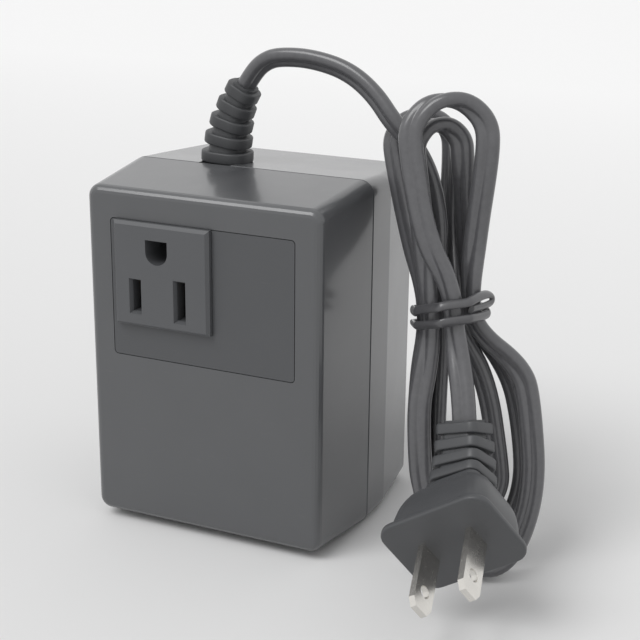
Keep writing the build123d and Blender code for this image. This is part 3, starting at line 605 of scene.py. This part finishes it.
def arc_place(length, bend, toward, s):
    """The turned place at length s along an arc that starts up local Z."""
    radius = length / radians(bend)
    part_turn = bend * s / length
    over = Vector((radius * (1 - cos(radians(part_turn))), 0, radius * sin(radians(part_turn))))
    return turn(toward, "Z") @ Matrix.Translation(over) @ turn(part_turn, "Y") @ turn(-toward, "Z")


boot_frame = Matrix.Translation(Vector(boot_place))
plug_frame = (Matrix.Translation(Vector(plug_place)) @ turn(plug_heading, "Z")
              @ turn(plug_dip - 90, "X") @ turn(-plug_roll, "Z"))
neck_frame = plug_frame @ Matrix.Translation(Vector((0, 0, plug_flange + plug_body_length)))
boot_end = boot_frame @ arc_place(boot_length, boot_bend, 0, boot_length)
neck_end = neck_frame @ arc_place(neck_length, neck_bend, neck_toward, neck_length)
print("boot ends at", tuple(round(v, 2) for v in boot_end.translation),
      "neck ends at", tuple(round(v, 2) for v in neck_end.translation))

# %% [markdown]
# ## The cord's line
#
# A cord is springy, so its line has no corners: a smooth NURBS curve with the route's points as its
# handles. Its order is set after the points are there, because before them the curve would fall back
# to straight runs. The points along the finished line carry the tube.

# %% The cord's line
exit_points = [boot_end @ Vector((0, 0, rise)) for rise in (0, boot_exit)]
neck_points = [neck_end @ Vector((0, 0, rise)) for rise in (neck_exit, 0)]
route = (exit_points + [Vector(p) for p in lead_route] + [hank_to_part(p) for p in entry_route]
         + [hank_to_part(p) for p in folded] + [hank_to_part(p) for p in tail_route] + neck_points)
least_step, cord_resolution = 0.02 * mm, 10


def points_on_curve(points, resolution):
    """Points along a smooth curve that has these as its handles."""
    curve = bpy.data.curves.new("line", "CURVE")
    curve.dimensions = "3D"
    curve.resolution_u = resolution
    spline = curve.splines.new("NURBS")
    spline.points.add(len(points) - 1)
    for handle, point in zip(spline.points, points):
        handle.co = (*(point * mm), 1.0)
    spline.use_endpoint_u = True
    spline.order_u = 3
    carrier = bpy.data.objects.new("line", curve)
    bpy.context.scene.collection.objects.link(carrier)
    bpy.context.view_layer.update()
    line = bpy.data.meshes.new_from_object(carrier)
    found = [line.vertices[0].co.copy()]
    for vertex in line.vertices:
        if (vertex.co - found[-1]).length > least_step:
            found.append(vertex.co.copy())
    bpy.data.objects.remove(carrier)
    return found


cord_line = points_on_curve(route, cord_resolution)
cord_length = sum((b - a).length for a, b in zip(cord_line, cord_line[1:]))
print("handles:", len(route), "points:", len(cord_line), "length in mm:", round(cord_length / mm, 1))

# %% [markdown]
# ## The cord
#
# The cord is a flat twin: two round insulated cores side by side with a shallow groove between them,
# 5.8 mm wide and 3.3 mm thick. Its section is the outline of two circles, with the groove filled a
# little, as the extrusion leaves it. A flat cord bends easily over its thin side and hardly twists,
# so the section is carried along without twist, starting from the waist of the hank, where the tie
# holds all the strands on edge. Out of the tie's hold each strand leans over and shows its wide side.

# %% The cord's tube
lobe_radius = cord_thickness / 2 * mm
lobe_centre = (cord_width - cord_thickness) / 2 * mm
groove_fill = 0.05
ring_points = 36
lean_behind, lean_in_front, lean_at_waist_share = 40.0, 68.0, 0.4
lean_start, lean_full, middle_layer = 2.0, 17.0, 1.0


def twin_section():
    """Points of the twin outline: how far along the wide side and how far along the thin side."""
    outline = []
    for i in range(ring_points):
        angle = 2 * pi * i / ring_points
        reach = (lobe_centre * (cos(angle) ** 2 + groove_fill) ** 0.5
                 + (lobe_radius ** 2 - (lobe_centre * sin(angle)) ** 2) ** 0.5)
        outline.append((reach * cos(angle), reach * sin(angle)))
    return outline


def tangents_of(line):
    """The direction of a line at each of its points."""
    spots = [line[0]] + list(line) + [line[-1]]
    return [(after - before).normalized() for before, after in zip(spots, spots[2:])]


def carried(line, tangents, start, side):
    """Side directions that follow the line without twisting round it, from one of its points both ways."""
    sides = [None] * len(line)
    sides[start] = (side - tangents[start] * side.dot(tangents[start])).normalized()
    for step in (1, -1):
        i = start
        while 0 <= i + step < len(line):
            turned = tangents[i].rotation_difference(tangents[i + step]) @ sides[i]
            sides[i + step] = (turned - tangents[i + step] * turned.dot(tangents[i + step])).normalized()
            i += step
    return sides


def eased(value, low, high):
    """0 below low, 1 above high, with a smooth rise between."""
    share = min(max((value - low) / (high - low), 0.0), 1.0)
    return share * share * (3 - 2 * share)


def leaning(line, sides, tangents):
    """Sides that lean over away from the waist, further in the front layers than behind them."""
    leant = []
    for point, side, tangent in zip(line, sides, tangents):
        offset = (point - Vector(hank_place) * mm) / mm
        beyond_waist = eased(abs(offset.dot(hank_up)), lean_start, lean_full)
        freed = lean_at_waist_share + (1 - lean_at_waist_share) * beyond_waist
        in_front = eased(offset.dot(hank_forward), -middle_layer, front_layer)
        thin = tangent.cross(side)
        lean = lean_behind + (lean_in_front - lean_behind) * in_front
        angle = radians(lean) * freed * thin.dot(hank_across)
        leant.append(side * cos(angle) + thin * sin(angle))
    return leant


def tube(name, line, sides, tangents, outline):
    """A skin round a line, with the outline's wide side turned to the line's side at each point."""
    rings, lengths, travelled = [], [], 0.0
    for i, (point, side, tangent) in enumerate(zip(line, sides, tangents)):
        travelled += (point - line[i - 1]).length if i else 0.0
        thin = tangent.cross(side)
        rings.append([point + side * wide + thin * deep for wide, deep in outline])
        lengths.append(travelled)
    return skin(name, rings, lengths)


least_turn = 1e-6
bends = []
for before, here, after in zip(cord_line, cord_line[1:], cord_line[2:]):
    run_in, run_out = here - before, after - here
    bends.append((run_in.length + run_out.length) / 2 / max(run_in.angle(run_out), least_turn))
print("tightest bend in mm:", round(min(bends) / mm, 2), "at point", bends.index(min(bends)))
waist = hank_to_part(entry_route[-1]) * mm
waist_index = min(range(len(cord_line)), key=lambda i: (cord_line[i] - waist).length)
cord_tangents = tangents_of(cord_line)
cord_sides = carried(cord_line, cord_tangents, waist_index, hank_forward)
cord_sides = leaning(cord_line, cord_sides, cord_tangents)
cord_tube = tube("mains_cord", cord_line, cord_sides, cord_tangents, twin_section())
cord = finished_piece("mains_cord", cord_tube, cord_vinyl)
print("cord:", len(cord.data.polygons), "faces")

# %% [markdown]
# ## Ribbed sleeves
#
# Both strain reliefs are a soft tapered core with square-edged ribs. The ribs are one shape repeated
# along an arc while it shrinks, which is a job for Geometry Nodes: the tree turns the sleeve's line
# into a curve, trims it to the ribs' stretch, puts a rib on each point, turns it square to the line
# and scales it by its place in the row. The core under them is a skin through rings.

# %% A tree that strings ribs on a line
def rib_tree():
    """Geometry Nodes that put a row of ribs, each scaled and turned to its place, on a line."""
    tree = bpy.data.node_groups.new("ribs_on_line", "GeometryNodeTree")
    wanted = [("Line", "NodeSocketGeometry"), ("Rib", "NodeSocketObject"), ("Count", "NodeSocketInt"),
              ("Start", "NodeSocketFloat"), ("End", "NodeSocketFloat"),
              ("First scale", "NodeSocketVector"), ("Last scale", "NodeSocketVector"),
              ("Finish", "NodeSocketMaterial")]
    for name, kind in wanted:
        tree.interface.new_socket(name=name, in_out="INPUT", socket_type=kind)
    tree.interface.new_socket(name="Ribs", in_out="OUTPUT", socket_type="NodeSocketGeometry")
    graph = Graph(tree)
    given = graph.add("NodeGroupInput")
    line = graph.add("GeometryNodeMeshToCurve", values={"Mesh": given.part("Line")})
    trimmed = graph.add("GeometryNodeTrimCurve", {"mode": "FACTOR"},
                        {"Curve": line, "Start": given.part("Start"), "End": given.part("End")})
    spots = graph.add("GeometryNodeCurveToPoints", {"mode": "COUNT"},
                      {"Curve": trimmed, "Count": given.part("Count")}, "Points")
    upright = graph.add("FunctionNodeAlignRotationToVector", {"axis": "Z"}, {"Vector": spots.part("Tangent")})
    across = graph.add("GeometryNodeInputNamedAttribute", {"data_type": "FLOAT_VECTOR"}, {"Name": "across"})
    turned = graph.add("FunctionNodeAlignRotationToVector", {"axis": "X", "pivot_axis": "Z"},
                       {"Rotation": upright, "Vector": across})
    share = graph.add("GeometryNodeInputIndex") / (given.part("Count") - 1)
    size = graph.add("ShaderNodeMix", {"data_type": "VECTOR"},
                     {mix_factor: share, vector_first: given.part("First scale"),
                      vector_second: given.part("Last scale")}, vector_result)
    rib = graph.add("GeometryNodeObjectInfo", values={"Object": given.part("Rib")}, output="Geometry")
    ribs = graph.add("GeometryNodeInstanceOnPoints",
                     values={"Points": spots, "Instance": rib, "Rotation": turned, "Scale": size})
    real = graph.add("GeometryNodeRealizeInstances", values={"Geometry": ribs})
    done = graph.add("GeometryNodeSetMaterial", values={"Geometry": real, "Material": given.part("Finish")})
    result = tree.nodes.new("NodeGroupOutput")
    tree.links.new(done.socket, result.inputs["Ribs"])
    return tree


ribs_on_line = rib_tree()
sockets = ribs_on_line.interface.items_tree
print("inputs of the rib tree:", [item.name for item in sockets if item.in_out == "INPUT"])

# %% [markdown]
# ## Parts of a sleeve
#
# The tree runs as a modifier on a line, and its evaluated mesh is kept as a plain one, so nothing is
# left live. The rib is drawn once, with its edges rolled over, at the size it has half-way along the
# sleeve. The sleeve itself is a core skin and its string of ribs, both worked out on the same arc.

# %% Run a tree and keep its mesh
def grown(tree, mesh, inputs):
    """The mesh that a tree makes of a starting mesh, as a plain mesh."""
    carrier = bpy.data.objects.new("carrier", mesh)
    bpy.context.scene.collection.objects.link(carrier)
    modifier = carrier.modifiers.new("shape", "NODES")
    modifier.node_group = tree
    for item in tree.interface.items_tree:
        if item.in_out == "INPUT" and item.name in inputs:
            modifier[item.identifier] = inputs[item.name]
    bpy.context.view_layer.update()
    evaluated = carrier.evaluated_get(bpy.context.evaluated_depsgraph_get())
    result = bpy.data.meshes.new_from_object(evaluated)
    bpy.data.objects.remove(carrier)
    return result


def rib_mesh(width, depth, corner, thickness, rounding, steps=4):
    """One rib: a rounded slab with its edges rolled over."""
    rings = []
    for end in (-1, 1):
        order = range(steps + 1) if end < 0 else range(steps, -1, -1)
        for i in order:
            angle = pi / 2 * i / steps
            inset = rounding * (1 - sin(angle))
            level = end * (thickness / 2 - rounding + rounding * cos(angle))
            rings.append([p + Vector((0, 0, level))
                          for p in rounded_ring(width - 2 * inset, depth - 2 * inset, corner - inset)])
    return skin("rib", rings)


def joined(name, meshes):
    """Several meshes as one."""
    whole = bmesh.new()
    for mesh in meshes:
        whole.from_mesh(mesh)
    result = bpy.data.meshes.new(name)
    whole.to_mesh(result)
    whole.free()
    return result


# %% A ribbed sleeve
rib_round, sleeve_stub, sleeve_steps = 0.5 * mm, 0.8 * mm, 40


def ribbed_sleeve(name, place, length, bend, toward, base, top, ribs,
                  rib_share, core_shares, corner_share, material):
    """A tapered core on an arc with ribs strung on it, all in metres."""
    def at(s):
        return place @ arc_place(length, bend, toward, s)

    def size(s, shares=(1.0, 1.0)):
        t = s / length
        return [(low + (high - low) * t) * share for low, high, share in zip(base, top, shares)]

    core_rings = []
    for i in range(sleeve_steps + 1):
        s = length * i / sleeve_steps
        width, depth = size(s, core_shares)
        core_rings.append([at(s) @ p for p in rounded_ring(width, depth, corner_share * min(width, depth))])
    pitch = (length - sleeve_stub) / (ribs - 1 + rib_share)
    thickness = pitch * rib_share
    middle = size(length / 2)
    rib = bpy.data.objects.new("rib", rib_mesh(*middle, corner_share * min(middle), thickness, rib_round))
    line = bpy.data.meshes.new("line")
    places = [at(length * i / sleeve_steps) for i in range(sleeve_steps + 1)]
    edges = [(i, i + 1) for i in range(sleeve_steps)]
    line.from_pydata([tuple(spot.translation) for spot in places], edges, [])
    across = line.attributes.new("across", "FLOAT_VECTOR", "POINT")
    for mark, spot in zip(across.data, places):
        mark.vector = spot.to_3x3() @ Vector((1, 0, 0))
    first, last = thickness / 2, length - sleeve_stub - thickness / 2
    scales = [[wanted / built for wanted, built in zip(size(s), middle)] + [1.0] for s in (first, last)]
    strung = grown(ribs_on_line, line, {
        "Rib": rib, "Count": ribs, "Start": first / length, "End": last / length,
        "First scale": scales[0], "Last scale": scales[1], "Finish": material})
    bpy.data.objects.remove(rib)
    return [skin(name, core_rings), strung]


print("sleeves are strung on lines of", sleeve_steps, "steps")

# %% [markdown]
# ## The boot
#
# The boot is a rubber moulding that leans towards the side where the cord hangs. Its foot sits in
# the case's top, just behind the seam. The core is nearly as deep as the ribs in front and behind, so
# there the grooves are only soft lines, while at the sides they are open notches. A filler in front
# of the foot closes the slot through which the boot slides into the rear shell.

# %% Boot
boot_base, boot_top = (13.6, 11.6), (8.2, 8.0)
filler_width, filler_depth, filler_height, boot_edge = 9.2, 7.15, 2.4, 0.2


def metres(values):
    return [v * mm for v in values]


def in_metres(matrix):
    """A frame whose place is in millimetres, with its place in metres."""
    moved = matrix.copy()
    moved.translation = matrix.translation * mm
    return moved


boot_parts = ribbed_sleeve(
    "cord_boot_skin", in_metres(boot_frame), boot_length * mm, boot_bend, 0,
    base=metres(boot_base), top=metres(boot_top), ribs=5, rib_share=0.68,
    core_shares=(0.72, 0.86), corner_share=0.40, material=boot_rubber)
filler_ends = [boot_frame @ Matrix.Translation((0, -filler_depth / 2, z)) for z in (-filler_height, 0.0)]
filler = skin("boot_filler", [
    [in_metres(end) @ (p * mm) for p in rounded_ring(filler_width, filler_depth, boot_edge)]
    for end in filler_ends])
boot = finished_piece("boot", joined("boot", boot_parts + [filler]), boot_rubber)
print("boot:", len(boot.data.polygons), "faces")

# %% [markdown]
# ## The plug
#
# The plug is one vinyl moulding: a flange with a small round on both edges, a body whose shoulders
# curve in to the neck, and the ribbed neck. From the flange to the neck the section only changes in
# size, so one skin does it. The shoulders follow a quarter of an ellipse.

# %% Plug
plug_face, plug_face_corner = (28.6, 21.8), 4.2
plug_body, plug_body_corner = (25.8, 19.0), 4.4
plug_neck, plug_neck_corner, neck_top = (15.0, 11.6), 3.0, (11.4, 9.0)
face_round, back_round, root_fillet = 0.5, 0.7, 0.6
round_steps, shoulder_steps = 5, 14


def plug_levels():
    """Level, width, depth and corner of each ring, from the face back to the neck."""
    levels = []
    quarter = [pi / 2 * i / round_steps for i in range(round_steps + 1)]
    for angle in quarter:
        inset = face_round * (1 - sin(angle))
        level = face_round * (1 - cos(angle))
        levels.append((level, *[v - 2 * inset for v in plug_face], plug_face_corner - inset))
    for angle in quarter:
        inset = back_round * (1 - cos(angle))
        level = plug_flange - back_round + back_round * sin(angle)
        levels.append((level, *[v - 2 * inset for v in plug_face], plug_face_corner - inset))
    for angle in quarter:
        swell = root_fillet * (1 - sin(angle))
        level = plug_flange + root_fillet * (1 - cos(angle))
        levels.append((level, *[v + 2 * swell for v in plug_body], plug_body_corner + swell))
    for i in range(1, shoulder_steps + 1):
        angle = pi / 2 * i / shoulder_steps
        level = plug_flange + root_fillet + (plug_body_length - root_fillet) * sin(angle)
        size = [neck + (body - neck) * cos(angle) for body, neck in zip(plug_body, plug_neck)]
        corner = plug_neck_corner + (plug_body_corner - plug_neck_corner) * cos(angle)
        levels.append((level, *size, corner))
    return levels


plug_seat = in_metres(plug_frame)
moulding = skin("plug_skin", [
    [plug_seat @ (p + Vector((0, 0, level * mm))) for p in rounded_ring(width * mm, depth * mm, corner * mm)]
    for level, width, depth, corner in plug_levels()])
neck_parts = ribbed_sleeve(
    "plug_neck_skin", in_metres(neck_frame), neck_length * mm, neck_bend, neck_toward,
    base=metres(plug_neck), top=metres(neck_top), ribs=5, rib_share=0.62,
    core_shares=(0.72, 0.80), corner_share=0.22, material=plug_vinyl)
plug = finished_piece("plug", joined("plug", [moulding] + neck_parts), plug_vinyl)
print("plug:", len(plug.data.polygons), "faces")

# %% [markdown]
# ## The tie
#
# A plastic-covered wire goes twice round the waist. Its line is a smooth curve too, with two handles
# outside each corner of the strands' outline in the waist, so the wire hugs the strands and rounds the
# corners by itself. It starts with a hairpin that stands out at the right and steps down at the back to
# its second lap.

# %% Tie
tie_height, tie_thickness, tie_clearance, tie_slack = 2.3, 1.4, 0.5, 0.15
tie_resolution, tie_ring_points = 6, 20
tie_shoulder_share, tie_front_share = 0.7, 1.4
half_thin, half_wide = cord_thickness / 2 + tie_clearance, cord_width / 2 + tie_clearance
tie_left, tie_right = back_slots[0][0] - half_thin, back_slots[-1][0] + half_thin
shoulder = front_layer + half_wide * tie_shoulder_share
front_half = half_thin * tie_front_share
tie_front = tail_slot[1] + half_wide
waist_outline = [Vector(corner) for corner in (
    (tie_right, shoulder), (tail_slot[0] + front_half, tie_front), (tail_slot[0] - front_half, tie_front),
    (tie_left, shoulder), (tie_left, back_layer - half_wide), (tie_right, back_layer - half_wide))]
hairpin = [(2.4, 0.0, 12.3), (5.0, 0.2, 9.2), (7.0, 0.5, 6.6), (8.3, 0.9, 5.2), (8.5, 2.3, 5.0),
           (7.2, 3.1, 6.4), (5.2, 2.9, 9.2)]
lap_heights = [(0.17, 2.1), (0.42, 1.1), (0.58, -0.3), (0.92, -0.9),
               (1.10, -2.1), (1.25, -2.1), (1.42, -2.9), (1.60, -3.9)]


def outline_handles(corners, distance):
    """Two handles outside each corner of a convex outline, square to its two edges."""
    handles = []
    for before, corner, after in zip(corners[-1:] + corners[:-1], corners, corners[1:] + corners[:1]):
        for run in (corner - before, after - corner):
            handles.append(corner + distance * Vector((run.y, -run.x)).normalized())
    return handles


one_lap = outline_handles(waist_outline, tie_thickness / 2 + tie_slack)
laps = one_lap + one_lap[:-1]
rounds_done = [i / len(one_lap) for i in range(len(laps))]
heights = np.interp(rounds_done, *zip(*lap_heights))
tie_route = hairpin + [(spot.x, float(height), spot.y) for spot, height in zip(laps, heights)][2:]
tie_line = points_on_curve([hank_to_part(p) for p in tie_route], tie_resolution)
tie_tangents = tangents_of(tie_line)
tie_sides = carried(tie_line, tie_tangents, len(tie_line) // 2, hank_up)
tie_angles = [2 * pi * i / tie_ring_points for i in range(tie_ring_points)]
tie_section = [(tie_height / 2 * mm * cos(angle), tie_thickness / 2 * mm * sin(angle))
               for angle in tie_angles]
tie = finished_piece("tie", tube("tie", tie_line, tie_sides, tie_tangents, tie_section), tie_vinyl)
print("tie:", len(tie.data.polygons), "faces")

# %% [markdown]
# ## What stands for what
#
# Four pieces stand in for solids of the frame. Each rides on the root body, and the solids that it
# replaces are hidden: the boot, the plug's body and the tie hide one each, and the cord hides its
# lead, hank and tail.

# %% Attach and hide
worn = [(boot, "cord_boot", "boot_rubber"), (plug, "plug_body", "plug_vinyl"), (tie, "cord_tie", "tie_vinyl")]
for piece, node, slot_name in worn:
    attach(piece, "root")
    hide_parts(node)
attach(cord, "root")
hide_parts("cord_lead", "cord_hank", "cord_tail")
tuple(boot_end.translation * mm)
print("pieces that stand for solids:", [piece.name for piece in (boot, plug, tie, cord)])
